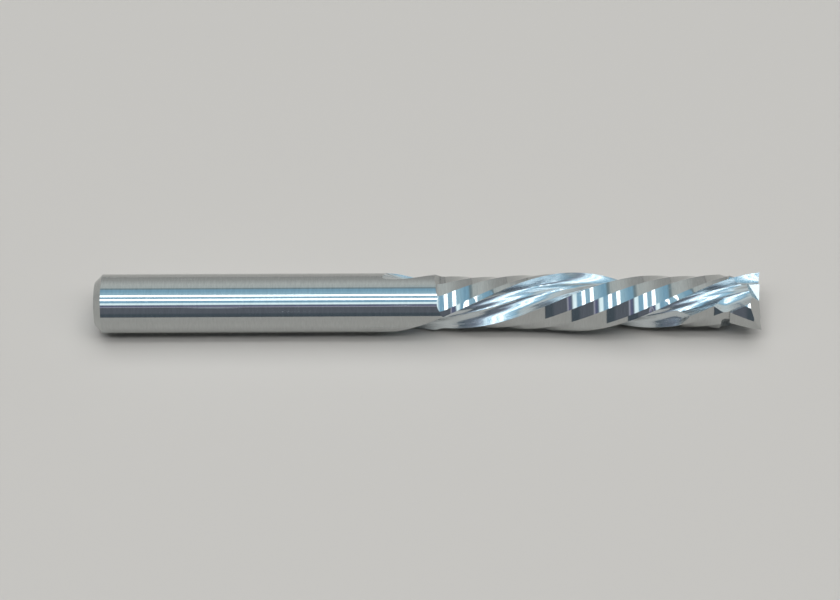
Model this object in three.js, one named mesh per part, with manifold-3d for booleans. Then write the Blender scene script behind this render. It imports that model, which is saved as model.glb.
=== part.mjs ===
// A two-flute solid carbide compression end mill for wood and board.
// It is one ground piece. The shank end is at the origin, the tool lies along X and cuts at +X.
// Most of the flute length is a left-hand (down-cut) helix. The last few millimetres are
// crossed by a right-hand (up-cut) helix, so the teeth pull the chip towards the middle.
// Angles are about the X axis, counted from -Y upwards to +Z. Lengths are in millimetres.

import * as THREE from 'three';
import { mergeVertices } from 'three/addons/utils/BufferGeometryUtils.js';
import Module from 'manifold-3d';

const OVERALL_LENGTH = 45;
const SHANK_DIAMETER = 4;
const CUTTING_DIAMETER = 3.97;
const CORE_DIAMETER = 2.3;
const SHANK_CHAMFER = 0.5;
const CUTTING_LENGTH = 22;
const HELIX_ANGLE = 25;
const FLUTE_COUNT = 2;
const CORNER_ANGLE = 158;

// The long flutes run past the cutting length and wash out along the shank.
const FLUTE_LENGTH = 21.2;
const FLUTE_WASH_OUT = 4.2;
const LAND_RUN_OUT = 0.7;

// The up-cut flutes cross the lands at the tip. They trail the down-cut edges by a set angle.
const UPCUT_LENGTH = 2.1;
const UPCUT_WASH_OUT = 0.8;
const UPCUT_TRAIL_ANGLE = 23;
const UPCUT_LAND_LENGTH = 2.3;

// Ahead of the up-cut flutes each land keeps a hump that leans into the long flute.
const HUMP_START = 6;
const HUMP_PEAK = 4.1;
const HUMP_END = 2.3;
const HUMP_WIDTH = 1.15;

const END_RELIEF_ANGLE = 26;
const END_DISH_ANGLE = 3;
const GASH_ANGLE = 30;
const END_FACE_LEAN = 0.004;

// A cutter wider than its shank keeps a head that the shank tapers up to.
const HEAD_TAPER = 0.5;

// Directions in which the wheels lift out of the blank, in degrees behind the edge.
const RAKE_LIFT_DIRECTION = -25;
const BACK_LIFT_DIRECTION = -20;
const LAND_LIFT_DIRECTION = 60;
const UPCUT_LIFT_DIRECTION = -35;
const LAND_LIFT_SHARE = 0.15;

const BLANK_SIDES = 72;
const TWIST_STEP = 6;

// Each land falls away from its cutting edge in flat facets. An entry gives where the facet ends,
// in degrees behind the edge, and how far out the land still stands there, as a share of the radius.
// The land itself ends at its heel. The last facet lies past the heel and shapes the hump.
const LAND_FACETS = [
  { ends: 12, stands: 0.967 },
  { ends: 45, stands: 0.912 },
  { ends: 76, stands: 0.866 },
  { ends: 112, stands: 0.908 },
  { ends: 150, stands: 1.065 },
];
const HEEL = { at: 108, stands: 0.885 };
const UPCUT_LAND_FACETS = [
  { ends: 24, stands: 0.985 },
  { ends: 50, stands: 0.946 },
  { ends: 82, stands: 0.89 },
];

// The floor of a flute: degrees from the cutting edge, and how far the floor rises from the
// core, as a share of the flute's depth.
const FLUTE_FLOOR = [
  { at: -38, rises: 0.165 },
  { at: -28, rises: 0 },
  { at: -16, rises: 0 },
  { at: -6, rises: 0 },
  { at: 3, rises: 0.138 },
  { at: 3, rises: 0.525 },
];

// The back of a flute: degrees from the heel of the land ahead, and the rise from the core.
const FLUTE_BACK = [
  { at: 6, rises: 0.386 },
  { at: 14, rises: 0.11 },
  { at: 26, rises: 0 },
  { at: 38, rises: 0 },
  { at: 47, rises: 0.207 },
];

const wasm = await Module();
wasm.setup();

const shankRadius = SHANK_DIAMETER / 2;
const cuttingRadius = CUTTING_DIAMETER / 2;
const coreRadius = CORE_DIAMETER / 2;
const headRadius = Math.max(shankRadius, cuttingRadius);
const clearOfBlank = headRadius * 1.5;
const overrun = 1;
const passOverlap = 0.05;
const endStock = 0.2;
const lead = (Math.PI * CUTTING_DIAMETER) / Math.tan(THREE.MathUtils.degToRad(HELIX_ANGLE));
const degreesPerMillimetre = 360 / lead;
const toothPitch = 360 / FLUTE_COUNT;

/** A closed three.js geometry as a manifold solid. */
function solid(geometry) {
  const bare = geometry.clone();
  bare.deleteAttribute('normal');
  bare.deleteAttribute('uv');
  const merged = mergeVertices(bare, 1e-5);
  return new wasm.Manifold(new wasm.Mesh({
    numProp: 3,
    vertProperties: new Float32Array(merged.attributes.position.array),
    triVerts: new Uint32Array(merged.index.array),
  }));
}

/** A manifold solid as a three.js geometry. */
function geometryOf(body) {
  const mesh = body.getMesh();
  const geometry = new THREE.BufferGeometry();
  geometry.setAttribute('position', new THREE.BufferAttribute(mesh.vertProperties, 3));
  geometry.setIndex(new THREE.BufferAttribute(mesh.triVerts, 1));
  geometry.computeVertexNormals();
  return geometry;
}

/** A point of a cross-section, from its distance to the axis and its angle behind the edge. */
function polar(radius, degrees) {
  const angle = THREE.MathUtils.degToRad(degrees);
  return new THREE.Vector2(radius * Math.cos(angle), radius * Math.sin(angle));
}

/**
 * An extruded outline whose points are carried to their places by a function of the point.
 * The function mirrors the outline, so each triangle is turned over to face outwards again.
 */
function carried(outline, steps, toPlace) {
  const geometry = new THREE.ExtrudeGeometry(new THREE.Shape(outline), {
    depth: 1,
    steps,
    bevelEnabled: false,
  });
  const position = geometry.attributes.position;
  const point = new THREE.Vector3();
  const turned = [];
  for (let i = 0; i < position.count; i += 1) {
    point.fromBufferAttribute(position, i);
    position.setXYZ(i, ...toPlace(point));
  }
  for (let i = 0; i < position.count; i += 3) {
    turned.push(i, i + 2, i + 1);
  }
  geometry.setIndex(turned);
  return solid(geometry);
}

/** The chamfered round blank that everything is ground from. */
function blank() {
  const headStart = OVERALL_LENGTH - CUTTING_LENGTH;
  const profile = [
    new THREE.Vector2(0, 0),
    new THREE.Vector2(shankRadius - SHANK_CHAMFER, 0),
    new THREE.Vector2(shankRadius, SHANK_CHAMFER),
    new THREE.Vector2(shankRadius, headStart - HEAD_TAPER),
    new THREE.Vector2(headRadius, headStart),
    new THREE.Vector2(headRadius, OVERALL_LENGTH + endStock),
    new THREE.Vector2(0, OVERALL_LENGTH + endStock),
  ];
  const lathe = new THREE.LatheGeometry(profile, BLANK_SIDES);
  lathe.rotateZ(-Math.PI / 2);
  return solid(lathe);
}

/**
 * The space that a grinding wheel clears: an outline in the plane across the axis, carried
 * along X while it turns with the helix and moves out of the blank where the wheel lifts.
 */
function wheelPath(outline, { from, to, angleAt, liftAt, liftDirection = 0 }) {
  const turn = Math.abs(angleAt(to) - angleAt(from));
  const steps = Math.max(Math.ceil(turn / TWIST_STEP), 2);
  const out = polar(1, liftDirection);
  return carried(outline, steps, (point) => {
    const x = from + (to - from) * point.z;
    const lift = liftAt(x);
    const angle = THREE.MathUtils.degToRad(angleAt(x));
    const across = point.x + out.x * lift;
    const up = point.y + out.y * lift;
    return [
      x,
      up * Math.sin(angle) - across * Math.cos(angle),
      up * Math.cos(angle) + across * Math.sin(angle),
    ];
  });
}

/** How far a wheel has lifted at x: nothing at x = deep, and the height after the length. */
function runOut(x, deep, length, height) {
  const share = Math.abs(x - deep) / length;
  return height * share * share;
}

/** Where the down-cut edge of a tooth stands at x. */
function downcutAngle(x, tooth) {
  const atTip = CORNER_ANGLE - UPCUT_TRAIL_ANGLE;
  return atTip - degreesPerMillimetre * (OVERALL_LENGTH - x) + tooth * toothPitch;
}

/** Where the up-cut edge of a tooth stands at x. */
function upcutAngle(x, tooth) {
  return CORNER_ANGLE + degreesPerMillimetre * (OVERALL_LENGTH - x) + tooth * toothPitch;
}

/** The point a length past the second of two points, straight on. */
function beyond(first, second, length) {
  return second.clone().sub(first).setLength(length).add(second);
}

/** The points of a flute's wall, turned by an angle. */
function fluteWall(points, angle = 0) {
  const depth = cuttingRadius - coreRadius;
  return points.map(({ at, rises }) => polar(coreRadius + depth * rises, at + angle));
}

/** The part of a flute next to the cutting edge: a hooked rake face, a root and the core. */
function rakeOutline() {
  const floor = fluteWall(FLUTE_FLOOR);
  return [
    polar(clearOfBlank, -50),
    polar(cuttingRadius, -46),
    ...floor,
    beyond(floor[floor.length - 1], polar(cuttingRadius, 0), clearOfBlank),
  ];
}

/** The back of a flute: the core and the wall that rises to the heel of the next land. */
function backOutline() {
  const heelAngle = HEEL.at - toothPitch;
  const wall = fluteWall(FLUTE_BACK, heelAngle);
  return [
    beyond(wall[0], polar(cuttingRadius * HEEL.stands, heelAngle), clearOfBlank),
    ...wall,
    polar(clearOfBlank, heelAngle + 50),
  ];
}

/** The space outside the facets of a land, past its edge and past its last facet. */
function landOutline(facets) {
  const edge = polar(cuttingRadius, 0);
  const corners = facets.map(({ ends, stands }) => polar(cuttingRadius * stands, ends));
  const last = corners.pop();
  const around = [120, 85, 50, 20, -12].map((angle) => polar(clearOfBlank, angle));
  return [
    ...around,
    beyond(corners[0], edge, cuttingRadius * 0.2),
    ...corners,
    beyond(corners[corners.length - 1], last, cuttingRadius * 0.6),
  ].reverse();
}

/** The rake side of a long flute, from its wash-out on the shank to past the tip. */
function downcutRake(tooth) {
  const deep = OVERALL_LENGTH - FLUTE_LENGTH;
  return wheelPath(rakeOutline(), {
    from: deep - FLUTE_WASH_OUT * 1.1,
    to: OVERALL_LENGTH + overrun,
    angleAt: (x) => downcutAngle(x, tooth),
    liftAt: (x) => (x < deep ? runOut(x, deep, FLUTE_WASH_OUT, cuttingRadius - coreRadius) : 0),
    liftDirection: RAKE_LIFT_DIRECTION,
  });
}

/** The back of a long flute, which lifts over the hump near the tip. */
function downcutBack(tooth) {
  const deep = OVERALL_LENGTH - FLUTE_LENGTH;
  const humpStart = OVERALL_LENGTH - HUMP_START;
  const humpPeak = OVERALL_LENGTH - HUMP_PEAK;
  const humpEnd = OVERALL_LENGTH - HUMP_END;
  const liftAt = (x) => {
    if (x < deep) {
      return runOut(x, deep, FLUTE_WASH_OUT, cuttingRadius - coreRadius);
    }
    if (x <= humpStart || x >= humpEnd) {
      return 0;
    }
    const share = x < humpPeak
      ? (x - humpStart) / (humpPeak - humpStart)
      : (humpEnd - x) / (humpEnd - humpPeak);
    return HUMP_WIDTH * THREE.MathUtils.smoothstep(share, 0, 1);
  };
  return wheelPath(backOutline(), {
    from: deep - FLUTE_WASH_OUT * 1.1,
    to: OVERALL_LENGTH + overrun,
    angleAt: (x) => downcutAngle(x, tooth),
    liftAt,
    liftDirection: BACK_LIFT_DIRECTION,
  });
}

/** The relief of a down-cut land, from its run-out at the shank to the up-cut land. */
function downcutLand(tooth) {
  const deep = OVERALL_LENGTH - CUTTING_LENGTH + LAND_RUN_OUT;
  return wheelPath(landOutline(LAND_FACETS), {
    from: deep - LAND_RUN_OUT * 1.2,
    to: OVERALL_LENGTH - UPCUT_LAND_LENGTH + passOverlap,
    angleAt: (x) => downcutAngle(x, tooth),
    liftAt: (x) => (x < deep ? runOut(x, deep, LAND_RUN_OUT, cuttingRadius * LAND_LIFT_SHARE) : 0),
    liftDirection: LAND_LIFT_DIRECTION,
  });
}

/** The relief of an up-cut land, which takes the land over at the tip. */
function upcutLand(tooth) {
  return wheelPath(landOutline(UPCUT_LAND_FACETS), {
    from: OVERALL_LENGTH - UPCUT_LAND_LENGTH,
    to: OVERALL_LENGTH + overrun,
    angleAt: (x) => upcutAngle(x, tooth),
    liftAt: () => 0,
  });
}

/** A short right-hand flute at the tip, which opens into the long flute beside it. */
function upcutFlute(outline, tooth) {
  const deep = OVERALL_LENGTH - UPCUT_LENGTH;
  return wheelPath(outline, {
    from: deep - UPCUT_WASH_OUT * 1.1,
    to: OVERALL_LENGTH + overrun,
    angleAt: (x) => upcutAngle(x, tooth),
    liftAt: (x) => (x < deep ? runOut(x, deep, UPCUT_WASH_OUT, cuttingRadius - coreRadius) : 0),
    liftDirection: UPCUT_LIFT_DIRECTION,
  });
}

/**
 * The wedge of space behind the end edge of a tooth. The end relief slopes back from the edge.
 * On the tooth's own side of the centre it is dished. On the other side it is the gash that
 * clears the way to the end edge of the opposite tooth.
 */
function endWedge(tooth) {
  const reach = shankRadius * 2;
  const slope = Math.tan(THREE.MathUtils.degToRad(END_RELIEF_ANGLE));
  const dish = Math.tan(THREE.MathUtils.degToRad(END_DISH_ANGLE));
  const gash = Math.tan(THREE.MathUtils.degToRad(GASH_ANGLE));
  const centre = OVERALL_LENGTH - cuttingRadius * dish;
  const angle = THREE.MathUtils.degToRad(CORNER_ANGLE + tooth * toothPitch);
  const outline = [
    new THREE.Vector2(0, 0),
    new THREE.Vector2(reach, -reach * slope),
    new THREE.Vector2(reach, reach * 2),
    new THREE.Vector2(-END_FACE_LEAN * reach * 2, reach * 2),
  ];
  return carried(outline, 2, (point) => {
    const along = (point.z * 2 - 1) * reach;
    const behind = point.x;
    return [
      centre + point.y + along * (along < 0 ? gash : dish),
      behind * Math.sin(angle) - along * Math.cos(angle),
      behind * Math.cos(angle) + along * Math.sin(angle),
    ];
  });
}

/** The whole tool: the blank less the space of each wheel pass. */
function grindTool() {
  let body = blank();
  for (let tooth = 0; tooth < FLUTE_COUNT; tooth += 1) {
    const passes = [
      downcutRake(tooth),
      downcutBack(tooth),
      downcutLand(tooth),
      upcutLand(tooth),
      upcutFlute(rakeOutline(), tooth),
      upcutFlute(backOutline(), tooth),
      endWedge(tooth),
    ];
    for (const space of passes) {
      body = body.subtract(space);
    }
  }
  return body;
}

const carbide = new THREE.MeshStandardMaterial({ color: 0xb4b8ba, metalness: 0.95, roughness: 0.22 });
const endMill = new THREE.Mesh(geometryOf(grindTool()), carbide);
endMill.name = 'end_mill';

const root = new THREE.Group();
root.add(endMill);

export default root;
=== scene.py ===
"""A two-flute solid carbide compression end mill lying on a pale floor.

The tool is one ground piece. It is modelled in millimetres, as a blank less the space that
each wheel pass clears, and is brought to metres at the end. The tool lies along X with its
shank end at the origin. Angles are about X, counted from -Y upwards to +Z.
"""

import logging
import math
from dataclasses import dataclass, field
from enum import Enum
from typing import Callable, Sequence

import bpy
from mathutils import Matrix, Vector


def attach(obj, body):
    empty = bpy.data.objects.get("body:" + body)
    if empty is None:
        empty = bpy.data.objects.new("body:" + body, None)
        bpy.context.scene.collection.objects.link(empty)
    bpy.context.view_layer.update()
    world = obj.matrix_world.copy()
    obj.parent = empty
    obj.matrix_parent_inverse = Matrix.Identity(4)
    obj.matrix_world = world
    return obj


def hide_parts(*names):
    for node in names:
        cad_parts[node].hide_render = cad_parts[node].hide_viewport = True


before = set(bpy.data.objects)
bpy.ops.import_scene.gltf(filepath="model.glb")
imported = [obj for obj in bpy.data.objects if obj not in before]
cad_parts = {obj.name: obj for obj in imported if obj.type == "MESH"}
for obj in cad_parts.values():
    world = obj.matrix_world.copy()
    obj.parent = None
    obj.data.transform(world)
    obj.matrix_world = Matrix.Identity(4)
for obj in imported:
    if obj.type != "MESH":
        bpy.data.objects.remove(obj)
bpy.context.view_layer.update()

MILLIMETRE = 0.001
FULL_TURN = 360
ORIGIN = (0.0, 0.0, 0.0)

Point = tuple[float, float]
Colour = tuple[float, float, float]

log = logging.getLogger("end_mill")


def deselect_all() -> None:
    """Leave no object selected, so that an operator acts only on what is picked next."""
    for item in bpy.context.selected_objects:
        item.select_set(False)


def pick(piece: bpy.types.Object) -> None:
    """Make one object the only selected and active one.

    Args:
        piece: The object to work on.
    """
    deselect_all()
    piece.select_set(True)
    bpy.context.view_layer.objects.active = piece


def polar(radius: float, degrees: float) -> Point:
    """Return a point of a cross-section.

    Args:
        radius: Distance to the tool axis, in millimetres.
        degrees: Angle behind the cutting edge.

    Returns:
        The point, first along the edge's radius and then at a right angle behind it.
    """
    angle = math.radians(degrees)
    return radius * math.cos(angle), radius * math.sin(angle)


def about_axis(point: Point, degrees: float) -> Point:
    """Turn a section point about the tool axis.

    Args:
        point: The point in the tooth's own section.
        degrees: Where the tooth's edge stands about the axis.

    Returns:
        The point's Y and Z.
    """
    angle = math.radians(degrees)
    along, behind = point
    return (behind * math.sin(angle) - along * math.cos(angle),
            behind * math.cos(angle) + along * math.sin(angle))


def run_out(x: float, deep: float, length: float, lift: float) -> float:
    """Return how far a wheel has lifted at x, on its way out of the blank towards the shank.

    Args:
        x: Place along the tool.
        deep: Where the wheel is still at its full depth.
        length: Length over which it lifts.
        lift: How far it has lifted after that length.

    Returns:
        The lift, which grows with the square of the way past the deep end.
    """
    if x >= deep:
        return 0.0
    return lift * ((deep - x) / length) ** 2


def draw_outline(name: str, corners: Sequence[Vector]) -> bpy.types.Object:
    """Draw a flat face, by extruding one vertex from corner to corner.

    Args:
        name: Name of the new object.
        corners: The corners of the face.

    Returns:
        The new object, left in edit mode with the whole face selected.
    """
    deselect_all()
    bpy.ops.mesh.primitive_plane_add(size=1.0, location=corners[0])
    piece = bpy.context.object
    piece.name = name
    bpy.ops.object.transform_apply(location=True, rotation=True, scale=True)
    bpy.ops.object.mode_set(mode="EDIT")
    bpy.ops.mesh.select_mode(type="VERT")
    bpy.ops.mesh.select_all(action="SELECT")
    bpy.ops.mesh.merge(type="CENTER")
    for here, there in zip(corners, corners[1:]):
        bpy.ops.mesh.extrude_vertices_move(TRANSFORM_OT_translate={"value": there - here})
    bpy.ops.mesh.select_all(action="SELECT")
    bpy.ops.mesh.edge_face_add()
    return piece


def turn_selected(degrees: float) -> None:
    """Turn what is selected in edit mode about the tool axis."""
    bpy.ops.transform.rotate(value=math.radians(degrees), orient_axis="X",
                             orient_type="GLOBAL", center_override=ORIGIN)


def finish_shape() -> None:
    """Point all faces of the edited shape outwards and leave edit mode."""
    bpy.ops.mesh.select_all(action="SELECT")
    bpy.ops.mesh.normals_make_consistent(inside=False)
    bpy.ops.object.mode_set(mode="OBJECT")


def rounded(points: Sequence[Point], steps: int) -> list[Point]:
    """Draw a smooth line through a few points of an outline, as a Catmull-Rom curve.

    Args:
        points: The points that the line passes through.
        steps: Stretches between two points.

    Returns:
        The points of the line, the first and last ones included.
    """
    line: list[Point] = []
    last = len(points) - 1
    for index in range(last):
        before = points[max(index - 1, 0)]
        start = points[index]
        end = points[index + 1]
        after = points[min(index + 2, last)]
        for step in range(steps):
            t = step / steps
            line.append(tuple(
                0.5 * (2 * b + (c - a) * t + (2 * a - 5 * b + 4 * c - d) * t * t
                       + (3 * b - a - 3 * c + d) * t ** 3)
                for a, b, c, d in zip(before, start, end, after)))
    line.append(points[last])
    return line


class Surface(Enum):
    """How a stretch of the tool was ground, which decides its finish."""

    SHANK = "ground_shank"
    LAND = "ground_land"
    FLUTE = "ground_flute_painted_reflection"
    END = "ground_end"


@dataclass(frozen=True)
class GroundCarbide:
    """Bright ground tungsten carbide with the marks that its grinding wheel leaves.

    Attributes:
        surface: Which ground surface this is.
        colour: Metal colour. On the flutes it is lighter and bluer, as painted reflection
        of the pale blue room above them.
        roughness: Roughness between the grinding marks.
        roughness_spread: How much rougher the marks are.
        mark_scale: Marks per millimetre along X, and across it.
        mark_depth: Depth of the marks in millimetres.
        lead: Length of a full turn of the marks' helix in millimetres, or 0 for straight ones.
        anisotropy: How much longer highlights are across the marks than along them.
        scratches: Extra roughness in the few fine scratches from handling.
        coat: Strength of the sharp reflection that lies over the soft one.
        coat_ior: Refractive index of that reflection's layer.
        coat_roughness: Roughness of that layer.
        anisotropy_turn: Share of a turn from the marks to the long way of the highlights.
        mark_detail: Finer layers in the pattern of the marks.
        mark_fineness: How strong those finer layers are.
        shade_range: Height of the marks between which the colour changes.
        shades: Colour at the two ends of that range, as shares of the metal colour.
        rough_range: Height of the marks between which the roughness changes.
        scratch_slant: Turn of the scratches about X, Y and Z, in radians.
        scratch_scale: Scale of their pattern along X, Y and Z, per metre.
        scratch_range: Height of their pattern between which a scratch begins and is full.
    """

    surface: Surface
    colour: Colour
    roughness: float
    roughness_spread: float
    mark_scale: tuple[float, float]
    mark_depth: float
    lead: float = 0.0
    anisotropy: float = 0.0
    scratches: float = 0.0
    coat: float = 0.0
    coat_ior: float = 2.2
    coat_roughness: float = 0.06
    anisotropy_turn: float = 0.25
    mark_detail: float = 4.0
    mark_fineness: float = 0.62
    shade_range: tuple[float, float] = (0.3, 0.7)
    shades: tuple[float, float] = (0.93, 1.05)
    rough_range: tuple[float, float] = (0.35, 0.75)
    scratch_slant: tuple[float, float, float] = (0.3, 0.5, 0.6)
    scratch_scale: tuple[float, float, float] = (120, 5000, 5000)
    scratch_range: tuple[float, float] = (0.7, 0.76)

    def material(self) -> bpy.types.Material:
        """Build the node material.

        Returns:
            The material, with one principled shader.
        """
        material = bpy.data.materials.new(self.surface.value)
        material.use_nodes = True
        nodes = material.node_tree.nodes
        links = material.node_tree.links
        shader = nodes["Principled BSDF"]
        shader.inputs["Metallic"].default_value = 1.0
        place = nodes.new("ShaderNodeTexCoord")
        scale = nodes.new("ShaderNodeVectorMath")
        scale.operation = "SCALE"
        scale.inputs["Scale"].default_value = 1 / MILLIMETRE
        links.new(place.outputs["Object"], scale.inputs[0])
        where = scale.outputs["Vector"]
        if self.lead:
            self._lay_marks(nodes, links, where, shader)
            where = self._untwisted(nodes, links, where)
        if self.coat:
            self._add_coat(shader)
        along, across = self.mark_scale
        stretch = nodes.new("ShaderNodeMapping")
        stretch.inputs["Scale"].default_value = (along, across, across)
        links.new(where, stretch.inputs["Vector"])
        marks = nodes.new("ShaderNodeTexNoise")
        marks.inputs["Scale"].default_value = 1.0
        marks.inputs["Detail"].default_value = self.mark_detail
        marks.inputs["Roughness"].default_value = self.mark_fineness
        links.new(stretch.outputs["Vector"], marks.inputs["Vector"])
        self._add_colour(nodes, links, marks, shader)
        self._add_roughness(nodes, links, marks, shader)
        bump = nodes.new("ShaderNodeBump")
        bump.inputs["Strength"].default_value = 1.0
        bump.inputs["Distance"].default_value = self.mark_depth * MILLIMETRE
        links.new(marks.outputs["Fac"], bump.inputs["Height"])
        links.new(bump.outputs["Normal"], shader.inputs["Normal"])
        return material

    def _untwisted(self, nodes: bpy.types.Nodes, links: bpy.types.NodeLinks,
                   where: bpy.types.NodeSocket) -> bpy.types.NodeSocket:
        """Turn the coordinates back by the helix, so that marks run along the flute.

        Args:
            nodes: The material's nodes.
            links: Its links.
            where: The place on the tool, in millimetres.

        Returns:
            The place with the helix taken out.
        """
        parts = nodes.new("ShaderNodeSeparateXYZ")
        turn = nodes.new("ShaderNodeMath")
        turn.operation = "MULTIPLY"
        turn.inputs[1].default_value = 2 * math.pi / self.lead
        rotate = nodes.new("ShaderNodeVectorRotate")
        rotate.rotation_type = "X_AXIS"
        links.new(where, parts.inputs[0])
        links.new(parts.outputs["X"], turn.inputs[0])
        links.new(where, rotate.inputs["Vector"])
        links.new(turn.outputs[0], rotate.inputs["Angle"])
        return rotate.outputs["Vector"]

    def _lay_marks(self, nodes: bpy.types.Nodes, links: bpy.types.NodeLinks,
                   where: bpy.types.NodeSocket, shader: bpy.types.Node) -> None:
        """Spread the highlights across the marks, which run along the helix.

        Args:
            nodes: The material's nodes.
            links: Its links.
            where: The place on the tool, in millimetres.
            shader: The material's shader.
        """
        around = nodes.new("ShaderNodeVectorMath")
        around.operation = "CROSS_PRODUCT"
        around.inputs[0].default_value = (-2 * math.pi / self.lead, 0, 0)
        links.new(where, around.inputs[1])
        along = nodes.new("ShaderNodeVectorMath")
        along.operation = "ADD"
        along.inputs[0].default_value = (1, 0, 0)
        links.new(around.outputs["Vector"], along.inputs[1])
        world = nodes.new("ShaderNodeVectorTransform")
        world.vector_type = "VECTOR"
        world.convert_from = "OBJECT"
        world.convert_to = "WORLD"
        links.new(along.outputs["Vector"], world.inputs["Vector"])
        links.new(world.outputs["Vector"], shader.inputs["Tangent"])
        shader.inputs["Anisotropic"].default_value = self.anisotropy
        shader.inputs["Anisotropic Rotation"].default_value = self.anisotropy_turn

    def _add_coat(self, shader: bpy.types.Node) -> None:
        """Lay a sharp reflection over the soft one.

        Args:
            shader: The material's shader.
        """
        shader.inputs["Coat Weight"].default_value = self.coat
        shader.inputs["Coat IOR"].default_value = self.coat_ior
        shader.inputs["Coat Roughness"].default_value = self.coat_roughness

    def _add_colour(self, nodes: bpy.types.Nodes, links: bpy.types.NodeLinks,
                    marks: bpy.types.Node, shader: bpy.types.Node) -> None:
        """Vary the metal's colour a little with the marks.

        Args:
            nodes: The material's nodes.
            links: Its links.
            marks: The pattern of the marks.
            shader: The material's shader.
        """
        tint = nodes.new("ShaderNodeValToRGB")
        stops = zip(tint.color_ramp.elements, self.shade_range, self.shades)
        for stop, position, shade in stops:
            stop.position = position
            stop.color = (*(part * shade for part in self.colour), 1)
        links.new(marks.outputs["Fac"], tint.inputs["Fac"])
        links.new(tint.outputs["Color"], shader.inputs["Base Color"])

    def _add_roughness(self, nodes: bpy.types.Nodes, links: bpy.types.NodeLinks,
                       marks: bpy.types.Node, shader: bpy.types.Node) -> None:
        """Make the marks rougher than the metal between them.

        Args:
            nodes: The material's nodes.
            links: Its links.
            marks: The pattern of the marks.
            shader: The material's shader.
        """
        ramp = nodes.new("ShaderNodeMapRange")
        ramp.inputs["From Min"].default_value = self.rough_range[0]
        ramp.inputs["From Max"].default_value = self.rough_range[1]
        ramp.inputs["To Min"].default_value = self.roughness
        ramp.inputs["To Max"].default_value = self.roughness + self.roughness_spread
        links.new(marks.outputs["Fac"], ramp.inputs["Value"])
        total = nodes.new("ShaderNodeMath")
        total.operation = "ADD"
        links.new(ramp.outputs["Result"], total.inputs[0])
        links.new(self._scratch_roughness(nodes, links), total.inputs[1])
        links.new(total.outputs[0], shader.inputs["Roughness"])

    def _scratch_roughness(self, nodes: bpy.types.Nodes,
                           links: bpy.types.NodeLinks) -> bpy.types.NodeSocket:
        """Draw the few thin scratches that cross the surface at a slant.

        Args:
            nodes: The material's nodes.
            links: Its links.

        Returns:
            The extra roughness, which is 0 between the scratches.
        """
        place = nodes.new("ShaderNodeTexCoord")
        lay = nodes.new("ShaderNodeMapping")
        lay.inputs["Rotation"].default_value = self.scratch_slant
        lay.inputs["Scale"].default_value = self.scratch_scale
        noise = nodes.new("ShaderNodeTexNoise")
        noise.inputs["Scale"].default_value = 1.0
        noise.inputs["Detail"].default_value = 1.0
        line = nodes.new("ShaderNodeMapRange")
        line.inputs["From Min"].default_value = self.scratch_range[0]
        line.inputs["From Max"].default_value = self.scratch_range[1]
        line.inputs["To Max"].default_value = self.scratches
        links.new(place.outputs["Object"], lay.inputs["Vector"])
        links.new(lay.outputs["Vector"], noise.inputs["Vector"])
        links.new(noise.outputs["Fac"], line.inputs["Value"])
        return line.outputs["Result"]


@dataclass(frozen=True)
class Facet:
    """One flat of a land, in the section across the tool.

    Attributes:
        ends: Degrees behind the cutting edge where the flat ends.
        stands: How far out the land still stands there, as a share of the radius.
    """

    ends: float
    stands: float


@dataclass(frozen=True)
class WheelPass:
    """The space that a grinding wheel clears on its way along the tool.

    Attributes:
        name: Name of the pass.
        outline: Outline of the space in the section across the tool, in millimetres.
        start: Where the pass starts along X, in millimetres.
        end: Where it ends.
        step: Length of one step of the sweep.
        angle_at: Where the tooth's edge stands about the axis at a given X.
        lift_at: How far the wheel has lifted out of the blank at a given X.
        lift_direction: Which way it lifts, in degrees behind the edge.
        surface: What the pass leaves.
    """

    name: str
    outline: Sequence[Point]
    start: float
    end: float
    step: float
    angle_at: Callable[[float], float]
    lift_at: Callable[[float], float]
    lift_direction: float
    surface: Surface

    def _shift(self, x: float) -> Point:
        """Return the Y and Z by which the wheel has lifted at x."""
        along, behind = polar(self.lift_at(x), self.lift_direction)
        return about_axis((along, behind), self.angle_at(x))

    def _placed_outline(self) -> list[Vector]:
        """Place the outline where the pass starts.

        Returns:
            Its corners, in millimetres.
        """
        angle = self.angle_at(self.start)
        shift_y, shift_z = self._shift(self.start)
        corners = []
        for point in self.outline:
            y, z = about_axis(point, angle)
            corners.append(Vector((self.start, y + shift_y, z + shift_z)))
        return corners

    def build(self) -> bpy.types.Object:
        """Carry the outline along the tool, one extrusion at a time.

        Returns:
            The closed space as an object, in object mode.
        """
        piece = draw_outline(self.name, self._placed_outline())
        count = max(round((self.end - self.start) / self.step), 1)
        advance = (self.end - self.start) / count
        x = self.start
        for _ in range(count):
            shift_y, shift_z = self._shift(x)
            bpy.ops.mesh.extrude_region_move(TRANSFORM_OT_translate={
                "value": (advance, -shift_y, -shift_z)})
            turn_selected(self.angle_at(x + advance) - self.angle_at(x))
            x += advance
            if self.lift_at(x):
                bpy.ops.transform.translate(value=(0.0, *self._shift(x)))
        finish_shape()
        return piece


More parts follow.
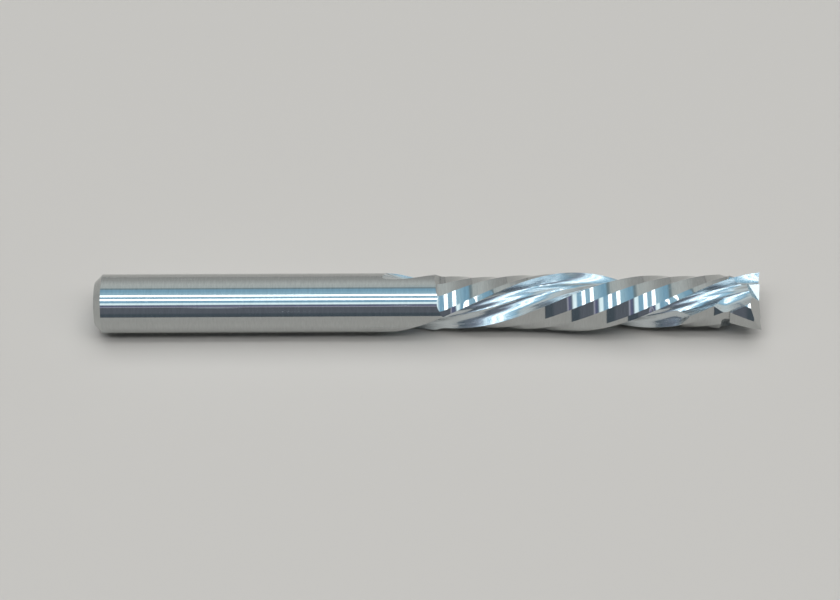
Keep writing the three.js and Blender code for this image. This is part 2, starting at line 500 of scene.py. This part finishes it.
@dataclass
class EndMill:
    """The whole tool.

    Lengths are in millimetres and angles in degrees. Lengths of the flutes, lands, hump and
    tip are counted back from the cutting end.

    Attributes:
        length: Overall length.
        shank_radius: Radius of the shank and of the blank.
        cutting_radius: Radius of the cutting edges.
        core_radius: Radius of the metal left between the flutes.
        chamfer: Chamfer at the shank end.
        cutting_length: Length of the ground lands.
        helix_angle: Slant of the edges against the axis.
        tooth_count: Teeth, each with its own flutes and lands.
        corner_angle: Where the first up-cut edge stands at the cutting end.
        flute_length: Length of the long flutes at full depth.
        flute_wash_out: Length over which they run out at the shank.
        land_run_out: Length over which the lands run out at the shank.
        upcut_length: Length of the up-cut flutes at full depth.
        upcut_wash_out: Length over which they run out.
        upcut_trail: From the down-cut edge to the up-cut edge at the cutting end.
        upcut_land: Length of the up-cut lands.
        hump_start: Where the hump on the land's heel starts.
        hump_peak: Where it is widest.
        hump_end: Where it ends.
        hump_width: How wide it is there.
        end_relief: Slope of the end behind its edges.
        end_dish: Slope of the end edges towards the axis.
        gash: Slope of the gash between the end teeth.
        overrun: How far a pass runs on past the cutting end.
        step: Length of one step along a pass.
        facets: Flats of a long land.
        heel: Where a long land ends.
        upcut_facets: Flats of an up-cut land.
        finishes: Finish of each ground surface.
        flute_floor: Angle from the edge, and radius as a share of the core's.
        rake_middle: The same for the rake face, as a share of the cutting radius.
        flute_back: Angle from the heel, and radius as a share of the core's.
        rake_opening: First and last angle of the rake pass, outside the blank.
        rake_shoulder: Angle and share of the cutting radius where it enters the blank.
        back_opening: First and last angle of the back pass from the heel, outside the blank.
        wall_steps: Stretches between two points of a flute's outline.
        around_land: Angles of the land pass outside the blank.
        past_edge: How far the land pass runs straight on past the edge.
        past_heel: How far it runs straight on past the heel.
        rake_lift: Way in which the wheel of the rake pass lifts.
        back_lift: The same for the back pass.
        land_lift: The same for the land pass.
        upcut_lift: The same for the up-cut flutes.
        land_lift_share: Lift over the land's run-out, as a share of the shank's radius.
        flute_lead_in: Where a flute's wheel starts, in lengths of its wash-out.
        land_lead_in: Where the land's wheel starts, in lengths of its run-out.
        clear_share: How far out the passes start, as a share of the shank's radius.
        end_reach: Reach of the wedge at the end, as a share of the shank's radius.
        pass_overlap: How far the land pass reaches into the up-cut lands.
        blank_sides: Sides of the round blank.
        rim_depth: Corners closer than this to the shank end belong to its rim.
        end_lean: Lean of the end face, as a share of the wedge's reach.
        smooth_angle: Sharper edges than this stay crisp.
        made: The materials, once they are made.
    """

    length: float = 45.0
    shank_radius: float = 2.0
    cutting_radius: float = 1.985
    core_radius: float = 1.15
    chamfer: float = 0.5
    cutting_length: float = 22.0
    helix_angle: float = 25.0
    tooth_count: int = 2
    corner_angle: float = 158.0
    flute_length: float = 21.2
    flute_wash_out: float = 4.2
    land_run_out: float = 0.7
    upcut_length: float = 2.1
    upcut_wash_out: float = 0.8
    upcut_trail: float = 23.0
    upcut_land: float = 2.3
    hump_start: float = 6.0
    hump_peak: float = 4.1
    hump_end: float = 2.3
    hump_width: float = 1.15
    end_relief: float = 26.0
    end_dish: float = 3.0
    gash: float = 30.0
    overrun: float = 0.6
    step: float = 0.1
    facets: tuple[Facet, ...] = (
        Facet(12, 0.967), Facet(45, 0.912), Facet(76, 0.866), Facet(112, 0.908),
        Facet(150, 1.065))
    heel: Facet = Facet(108, 0.885)
    upcut_facets: tuple[Facet, ...] = (Facet(24, 0.985), Facet(50, 0.946), Facet(82, 0.89))
    finishes: tuple[GroundCarbide, ...] = ()
    flute_floor: tuple[Point, ...] = ((-38, 1.12), (-28, 1), (-16, 1), (-6, 1), (3, 1.1))
    rake_middle: Point = (3, 0.8)
    flute_back: tuple[Point, ...] = ((6, 1.28), (14, 1.08), (26, 1), (38, 1), (47, 1.15))
    rake_opening: tuple[float, float] = (-50, -4)
    rake_shoulder: Point = (-46, 1.02)
    back_opening: tuple[float, float] = (-8, 50)
    wall_steps: int = 4
    around_land: tuple[float, ...] = (120, 85, 50, 20, -12)
    past_edge: float = 0.4
    past_heel: float = 1.2
    rake_lift: float = -25
    back_lift: float = -20
    land_lift: float = 60
    upcut_lift: float = -35
    land_lift_share: float = 0.15
    flute_lead_in: float = 1.1
    land_lead_in: float = 1.2
    clear_share: float = 1.5
    end_reach: float = 2
    pass_overlap: float = 0.05
    blank_sides: int = 256
    rim_depth: float = 0.01
    end_lean: float = 0.008
    smooth_angle: float = 11
    made: dict[Surface, bpy.types.Material] = field(default_factory=dict)

    @property
    def lead(self) -> float:
        """Length along the axis of one full turn of the helix."""
        return 2 * math.pi * self.cutting_radius / math.tan(math.radians(self.helix_angle))

    @property
    def clear(self) -> float:
        """A radius well outside the blank."""
        return self.shank_radius * self.clear_share

    @property
    def tooth_pitch(self) -> float:
        """Degrees from one tooth to the next."""
        return FULL_TURN / self.tooth_count

    @property
    def flute_depth(self) -> float:
        """Depth of a flute from the cutting edge to the core."""
        return self.cutting_radius - self.core_radius

    @property
    def turn_per_millimetre(self) -> float:
        """Degrees that an edge turns about the axis in a millimetre."""
        return FULL_TURN / self.lead

    def downcut_angle(self, x: float) -> float:
        """Return where the first down-cut edge stands at x."""
        return self.corner_angle - self.upcut_trail - self.turn_per_millimetre * (self.length - x)

    def upcut_angle(self, x: float) -> float:
        """Return where the first up-cut edge stands at x."""
        return self.corner_angle + self.turn_per_millimetre * (self.length - x)

    def _washed_out(self, x: float) -> float:
        """Return how far a long flute's wheel has lifted at x."""
        return run_out(x, self.length - self.flute_length, self.flute_wash_out, self.flute_depth)

    def _over_hump(self, x: float) -> float:
        """Return how far the wheel for the back of a flute has lifted at x.

        Args:
            x: Place along the tool.

        Returns:
            The lift, which leaves the hump standing.
        """
        start = self.length - self.hump_start
        peak = self.length - self.hump_peak
        end = self.length - self.hump_end
        if x <= start or x >= end:
            return self._washed_out(x)
        share = (x - start) / (peak - start) if x < peak else (end - x) / (end - peak)
        return self.hump_width * share * share * (3 - 2 * share)

    def _off_land(self, x: float) -> float:
        """Return how far the wheel for the lands has lifted at x."""
        deep = self.length - self.cutting_length + self.land_run_out
        return run_out(x, deep, self.land_run_out, self.shank_radius * self.land_lift_share)

    def _off_upcut(self, x: float) -> float:
        """Return how far the wheel for an up-cut flute has lifted at x."""
        return run_out(x, self.length - self.upcut_length, self.upcut_wash_out, self.flute_depth)

    @staticmethod
    def _stays_down(x: float) -> float:
        """Return no lift, for a wheel that stays at its depth at any x."""
        return 0.0

    def rake_outline(self) -> list[Point]:
        """Draw the flute next to the edge: hooked rake face, root and core.

        Returns:
            The corners of the outline.
        """
        floor = [polar(self.core_radius * share, at) for at, share in self.flute_floor]
        middle_angle, middle_share = self.rake_middle
        floor.append(polar(self.cutting_radius * middle_share, middle_angle))
        floor.append(polar(self.cutting_radius, 0))
        first, last = self.rake_opening
        shoulder_angle, shoulder_share = self.rake_shoulder
        return [polar(self.clear, first),
                polar(self.cutting_radius * shoulder_share, shoulder_angle),
                *rounded(floor, self.wall_steps), polar(self.clear, last)]

    def back_outline(self) -> list[Point]:
        """Draw the back of a flute: the core and the wall up to the next land's heel.

        Returns:
            The corners of the outline.
        """
        heel_angle = self.heel.ends - self.tooth_pitch
        wall = [polar(self.cutting_radius * self.heel.stands, heel_angle)]
        wall += [polar(self.core_radius * share, heel_angle + at)
                 for at, share in self.flute_back]
        first, last = self.back_opening
        return [polar(self.clear, heel_angle + first), *rounded(wall, self.wall_steps),
                polar(self.clear, heel_angle + last)]

    def land_outline(self, facets: Sequence[Facet]) -> list[Point]:
        """Outline of the space outside the flats of a land.

        Args:
            facets: The flats, from the edge to the heel.

        Returns:
            The corners of the outline.
        """
        edge = Vector(polar(self.cutting_radius, 0))
        corners = [Vector(polar(self.cutting_radius * flat.stands, flat.ends))
                   for flat in facets]
        before = edge + (edge - corners[0]).normalized() * self.past_edge
        after = corners[-1] + (corners[-1] - corners[-2]).normalized() * self.past_heel
        around = [polar(self.clear, angle) for angle in self.around_land]
        return [*around, tuple(before), tuple(edge), *map(tuple, corners), tuple(after)]

    def wheel_passes(self) -> list[WheelPass]:
        """List the wheel passes of the first tooth.

        Returns:
            The passes in the order of grinding.
        """
        deep = self.length - self.flute_length - self.flute_wash_out * self.flute_lead_in
        land = (self.length - self.cutting_length + self.land_run_out
                - self.land_run_out * self.land_lead_in)
        upcut = self.length - self.upcut_length - self.upcut_wash_out * self.flute_lead_in
        handover = self.length - self.upcut_land
        end = self.length + self.overrun
        return [
            WheelPass("rake_pass", self.rake_outline(), deep, end, self.step,
                      self.downcut_angle, self._washed_out, self.rake_lift, Surface.FLUTE),
            WheelPass("back_pass", self.back_outline(), deep, end, self.step,
                      self.downcut_angle, self._over_hump, self.back_lift, Surface.FLUTE),
            WheelPass("land_pass", self.land_outline(self.facets), land,
                      handover + self.pass_overlap, self.step, self.downcut_angle,
                      self._off_land, self.land_lift, Surface.LAND),
            WheelPass("upcut_land_pass", self.land_outline(self.upcut_facets), handover, end,
                      self.step, self.upcut_angle, self._stays_down, 0, Surface.LAND),
            WheelPass("upcut_rake_pass", self.rake_outline(), upcut, end, self.step,
                      self.upcut_angle, self._off_upcut, self.upcut_lift, Surface.FLUTE),
            WheelPass("upcut_back_pass", self.back_outline(), upcut, end, self.step,
                      self.upcut_angle, self._off_upcut, self.upcut_lift, Surface.FLUTE),
        ]

    def blank(self) -> bpy.types.Object:
        """Turn the round blank and chamfer its shank end.

        Returns:
            The blank as an object.
        """
        deselect_all()
        bpy.ops.mesh.primitive_cylinder_add(
            vertices=self.blank_sides, radius=self.shank_radius, depth=self.length,
            location=(self.length / 2, 0, 0), rotation=(0, math.pi / 2, 0))
        piece = bpy.context.object
        bpy.ops.object.transform_apply(location=True, rotation=True, scale=True)
        bpy.ops.object.mode_set(mode="EDIT")
        bpy.ops.mesh.select_mode(type="EDGE")
        bpy.ops.mesh.select_all(action="DESELECT")
        bpy.ops.object.mode_set(mode="OBJECT")
        points = piece.data.vertices
        for edge in piece.data.edges:
            edge.select = all(points[index].co.x < self.rim_depth for index in edge.vertices)
        bpy.ops.object.mode_set(mode="EDIT")
        bpy.ops.mesh.bevel(offset=self.chamfer, offset_type="OFFSET", segments=1)
        bpy.ops.object.mode_set(mode="OBJECT")
        return piece

    def end_wedge(self, tilt: float) -> bpy.types.Object:
        """Build the wedge of space behind an end edge.

        Args:
            tilt: Tilt of the wedge along the edge, which makes it the relief or the gash.

        Returns:
            The wedge of the first tooth as an object.
        """
        reach = self.shank_radius * self.end_reach
        slope = math.tan(math.radians(self.end_relief))
        rise = math.tan(math.radians(tilt))
        centre = self.length - self.cutting_radius * math.tan(math.radians(self.end_dish))
        corners = []
        for along, behind, up in (
                (-reach, 0, 0), (-reach, reach, -reach * slope),
                (-reach, reach, reach * 2), (-reach, -reach * self.end_lean, reach * 2)):
            y, z = about_axis((along, behind), self.corner_angle)
            corners.append(Vector((centre + along * rise + up, y, z)))
        piece = draw_outline("end_wedge", corners)
        y, z = about_axis((2 * reach, 0), self.corner_angle)
        bpy.ops.mesh.extrude_region_move(TRANSFORM_OT_translate={
            "value": (2 * reach * rise, y, z)})
        finish_shape()
        return piece

    def _dress_space(self, space: bpy.types.Object, surface: Surface) -> None:
        """Give a cleared space the finish that its pass leaves on the tool."""
        space.data.materials.clear()
        space.data.materials.append(self.made[surface])

    def _cut(self, body: bpy.types.Object, space: bpy.types.Object) -> None:
        """Cut one space out of the tool and drop it.

        Args:
            body: The tool so far.
            space: The space to clear, which is deleted.
        """
        pick(body)
        cut = body.modifiers.new("cut", "BOOLEAN")
        cut.operation = "DIFFERENCE"
        cut.solver = "MANIFOLD"
        cut.material_mode = "TRANSFER"
        cut.object = space
        bpy.ops.object.modifier_apply(modifier=cut.name)
        pick(space)
        bpy.ops.object.delete()

    def _grind(self, body: bpy.types.Object, first: bpy.types.Object) -> None:
        """Cut one pass at every tooth.

        Args:
            body: The tool so far.
            first: The space of the pass at the first tooth.
        """
        for tooth in range(1, self.tooth_count):
            pick(first)
            bpy.ops.object.duplicate()
            copy = bpy.context.object
            bpy.ops.object.mode_set(mode="EDIT")
            bpy.ops.mesh.select_all(action="SELECT")
            turn_selected(tooth * self.tooth_pitch)
            bpy.ops.object.mode_set(mode="OBJECT")
            self._cut(body, copy)
        self._cut(body, first)

    def build(self) -> bpy.types.Object:
        """Grind the tool from its blank.

        Returns:
            The finished tool, in metres, at the origin.
        """
        self.made = {finish.surface: finish.material() for finish in self.finishes}
        body = self.blank()
        body.name = "carbide_tool"
        body.data.materials.append(self.made[Surface.SHANK])
        for wheel in self.wheel_passes():
            space = wheel.build()
            self._dress_space(space, wheel.surface)
            self._grind(body, space)
            log.info("%s: %d faces", wheel.name, len(body.data.polygons))
        for tilt in (self.end_dish, self.gash):
            space = self.end_wedge(tilt)
            self._dress_space(space, Surface.END)
            self._grind(body, space)
        self._to_metres(body)
        self._smooth(body)
        return body

    def _to_metres(self, body: bpy.types.Object) -> None:
        """Scale the tool from millimetres to metres, in its mesh.

        Args:
            body: The finished tool.
        """
        pick(body)
        bpy.ops.object.mode_set(mode="EDIT")
        bpy.ops.mesh.select_all(action="SELECT")
        bpy.ops.transform.resize(value=(MILLIMETRE,) * 3, center_override=ORIGIN)
        bpy.ops.object.mode_set(mode="OBJECT")
        bpy.ops.object.transform_apply(location=True, rotation=True, scale=True)

    def _smooth(self, body: bpy.types.Object) -> None:
        """Shade the curved surfaces smooth and keep the ground edges crisp."""
        pick(body)
        bpy.ops.object.shade_smooth_by_angle(angle=math.radians(self.smooth_angle))


@dataclass(frozen=True)
class Strip:
    """A long strip light in line with the tool.

    Attributes:
        name: Name of the light.
        elevation: Where it hangs, in degrees from the front horizon over the top.
        width: How wide it looks from the tool, in degrees.
        power: Power in watts.
    """

    name: str
    elevation: float
    width: float
    power: float


# Light of the room by its angle, in degrees from the front horizon over the top to the back.
ROOM: tuple[tuple[float, Colour], ...] = (
    (0, (0.11, 0.14, 0.17)), (12, (0.11, 0.14, 0.17)), (18, (0.18, 0.20, 0.24)),
    (39, (0.18, 0.20, 0.24)), (41, (0.70, 0.72, 0.85)), (43, (0.20, 0.20, 0.36)),
    (48, (0.18, 0.23, 0.34)), (51, (1.5, 1.8, 1.9)), (56, (1.5, 1.8, 1.9)),
    (58, (0.38, 0.70, 0.96)), (92, (0.56, 0.88, 1.07)), (104, (0.37, 0.66, 0.88)),
    (110, (0.37, 0.66, 0.88)), (113, (0.29, 0.41, 0.47)), (116, (0.34, 0.43, 0.47)),
    (119, (0.70, 0.77, 0.77)), (135, (0.75, 0.79, 0.78)), (160, (0.52, 0.53, 0.52)),
    (180, (0.47, 0.47, 0.46)))


@dataclass(frozen=True)
class Studio:
    """Floor, lights and camera. Lengths are in metres and angles in degrees.

    Attributes:
        look_at: Where the camera looks.
        camera_distance: From the camera to that point.
        camera_elevation: Height of the camera above the horizon.
        camera_roll: Turn of the picture about the line of sight.
        lens: Focal length in millimetres.
        floor_height: Height of the floor.
        room: Light of the room by its angle.
        strips: The strip lights.
        sensor_width: Width of the camera's sensor in millimetres.
        clip_start: Nearest distance that the camera sees.
        floor_size: Length of the floor's sides.
        floor_colour: Colour of the floor.
        floor_roughness: Roughness of the floor.
        floor_gloss: Strength of its reflections.
        strip_length: Length of the strip lights.
        strip_distance: From the tool to them.
        overhead_size: Length of the overhead light's sides.
        overhead_power: Its power in watts.
        overhead_behind: How far it hangs behind the tool.
        overhead_height: How high it hangs.
    """

    look_at: tuple[float, float, float]
    camera_distance: float
    camera_elevation: float
    camera_roll: float
    lens: float
    floor_height: float
    room: tuple[tuple[float, Colour], ...] = ROOM
    strips: tuple[Strip, ...] = (Strip("front_strip", 69.5, 6.0, 0.75),
                                 Strip("top_strip", 84.5, 6.0, 0.75))
    sensor_width: float = 36.0
    clip_start: float = 0.005
    floor_size: float = 6.0
    floor_colour: Colour = (0.62, 0.61, 0.585)
    floor_roughness: float = 0.9
    floor_gloss: float = 0.1
    strip_length: float = 1.4
    strip_distance: float = 0.5
    overhead_size: float = 1.2
    overhead_power: float = 9.0
    overhead_behind: float = 0.15
    overhead_height: float = 1.0

    def camera(self) -> None:
        """Set up the camera."""
        data = bpy.data.cameras.new("camera")
        data.lens = self.lens
        data.sensor_width = self.sensor_width
        data.clip_start = self.clip_start
        camera = bpy.data.objects.new("camera", data)
        bpy.context.scene.collection.objects.link(camera)
        elevation = math.radians(self.camera_elevation)
        away = Vector((0, -math.cos(elevation), math.sin(elevation)))
        camera.location = Vector(self.look_at) + away * self.camera_distance
        camera.rotation_euler = (math.pi / 2 - elevation, 0, 0)
        camera.rotation_mode = "XYZ"
        turned = camera.rotation_euler.to_matrix()
        roll = Matrix.Rotation(math.radians(self.camera_roll), 3, "Z")
        camera.rotation_euler = (turned @ roll).to_euler()
        bpy.context.scene.camera = camera

    def floor(self) -> None:
        """Lay the plain pale floor."""
        deselect_all()
        bpy.ops.mesh.primitive_plane_add(size=self.floor_size,
                                         location=(0, 0, self.floor_height))
        plane = bpy.context.object
        plane.name = "floor"
        material = bpy.data.materials.new("pale_floor")
        material.use_nodes = True
        shader = material.node_tree.nodes["Principled BSDF"]
        shader.inputs["Base Color"].default_value = (*self.floor_colour, 1)
        shader.inputs["Roughness"].default_value = self.floor_roughness
        shader.inputs["Specular IOR Level"].default_value = self.floor_gloss
        plane.data.materials.append(material)

    def hang(self, strip: Strip) -> None:
        """Hang a strip light.

        Args:
            strip: The strip to hang.
        """
        data = bpy.data.lights.new(strip.name, "AREA")
        data.shape = "RECTANGLE"
        data.size = self.strip_length
        data.size_y = 2 * self.strip_distance * math.tan(math.radians(strip.width / 2))
        data.energy = strip.power
        light = bpy.data.objects.new(strip.name, data)
        bpy.context.scene.collection.objects.link(light)
        angle = math.radians(strip.elevation)
        towards = Vector((0, -math.cos(angle), math.sin(angle)))
        light.location = Vector(self.look_at) + towards * self.strip_distance
        light.rotation_euler = (math.pi / 2 - angle, 0, 0)

    def overhead(self) -> None:
        """Hang the large soft light that lights the floor and isn't mirrored in the tool."""
        data = bpy.data.lights.new("overhead", "AREA")
        data.shape = "SQUARE"
        data.size = self.overhead_size
        data.energy = self.overhead_power
        light = bpy.data.objects.new("overhead", data)
        bpy.context.scene.collection.objects.link(light)
        light.location = (self.look_at[0], self.overhead_behind, self.overhead_height)
        light.visible_glossy = False

    def surroundings(self) -> None:
        """Surround the tool with a soft room: dark in front, pale blue above, grey behind."""
        world = bpy.data.worlds.new("room")
        bpy.context.scene.world = world
        world.use_nodes = True
        world.cycles_visibility.diffuse = False
        nodes = world.node_tree.nodes
        links = world.node_tree.links
        sky = nodes["Background"]
        place = nodes.new("ShaderNodeTexCoord")
        parts = nodes.new("ShaderNodeSeparateXYZ")
        forward = nodes.new("ShaderNodeMath")
        forward.operation = "MULTIPLY"
        forward.inputs[1].default_value = -1.0
        angle = nodes.new("ShaderNodeMath")
        angle.operation = "ARCTAN2"
        share = nodes.new("ShaderNodeMath")
        share.operation = "DIVIDE"
        share.inputs[1].default_value = math.pi
        ramp = nodes.new("ShaderNodeValToRGB")
        links.new(place.outputs["Generated"], parts.inputs[0])
        links.new(parts.outputs["Y"], forward.inputs[0])
        links.new(parts.outputs["Z"], angle.inputs[0])
        links.new(forward.outputs[0], angle.inputs[1])
        links.new(angle.outputs[0], share.inputs[0])
        links.new(share.outputs[0], ramp.inputs["Fac"])
        links.new(ramp.outputs["Color"], sky.inputs["Color"])
        stops = ramp.color_ramp
        while len(stops.elements) > 1:
            stops.elements.remove(stops.elements[-1])
        stops.elements[0].position = 0.0
        stops.elements[0].color = (*self.room[0][1], 1)
        for degrees, colour in self.room[1:]:
            stop = stops.elements.new(degrees / (FULL_TURN / 2))
            stop.color = (*colour, 1)

    def build(self) -> None:
        """Set up the whole stage."""
        self.camera()
        self.floor()
        for strip in self.strips:
            self.hang(strip)
        self.overhead()
        self.surroundings()
        bpy.context.scene.view_settings.view_transform = "Standard"


FINISHES: tuple[GroundCarbide, ...] = (
    GroundCarbide(Surface.SHANK, (0.47, 0.485, 0.48), 0.055, 0.04, (8.0, 1.6), 0.0003,
                  scratches=0.3),
    GroundCarbide(Surface.LAND, (0.47, 0.485, 0.48), 0.05, 0.04, (9.0, 1.2), 0.0003,
                  scratches=0.1),
    # The flutes' colour is lighter and bluer than the carbide elsewhere: painted reflection of
    # the pale blue room light above them.
    GroundCarbide(Surface.FLUTE, (0.55, 0.6, 0.62), 0.13, 0.22, (0.6, 9.0), 0.0018,
                  lead=26.7, anisotropy=0.65, coat=0.7),
    GroundCarbide(Surface.END, (0.47, 0.485, 0.48), 0.14, 0.08, (4.0, 4.0), 0.001),
)


def main() -> None:
    """Build the tool and its stage, and report each piece."""
    logging.basicConfig(level=logging.INFO, format="%(name)s: %(message)s")
    tool = EndMill(finishes=FINISHES)
    piece = tool.build()
    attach(piece, "root")
    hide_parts("end_mill")
    log.info("%s: %d faces", piece.name, len(piece.data.polygons))
    studio = Studio(look_at=(0.02195, 0.0, 0.0003), camera_distance=0.188, camera_elevation=55.0,
                    camera_roll=-0.25, lens=119.2, floor_height=-tool.shank_radius * MILLIMETRE)
    studio.build()


if __name__ == "__main__":
    main()
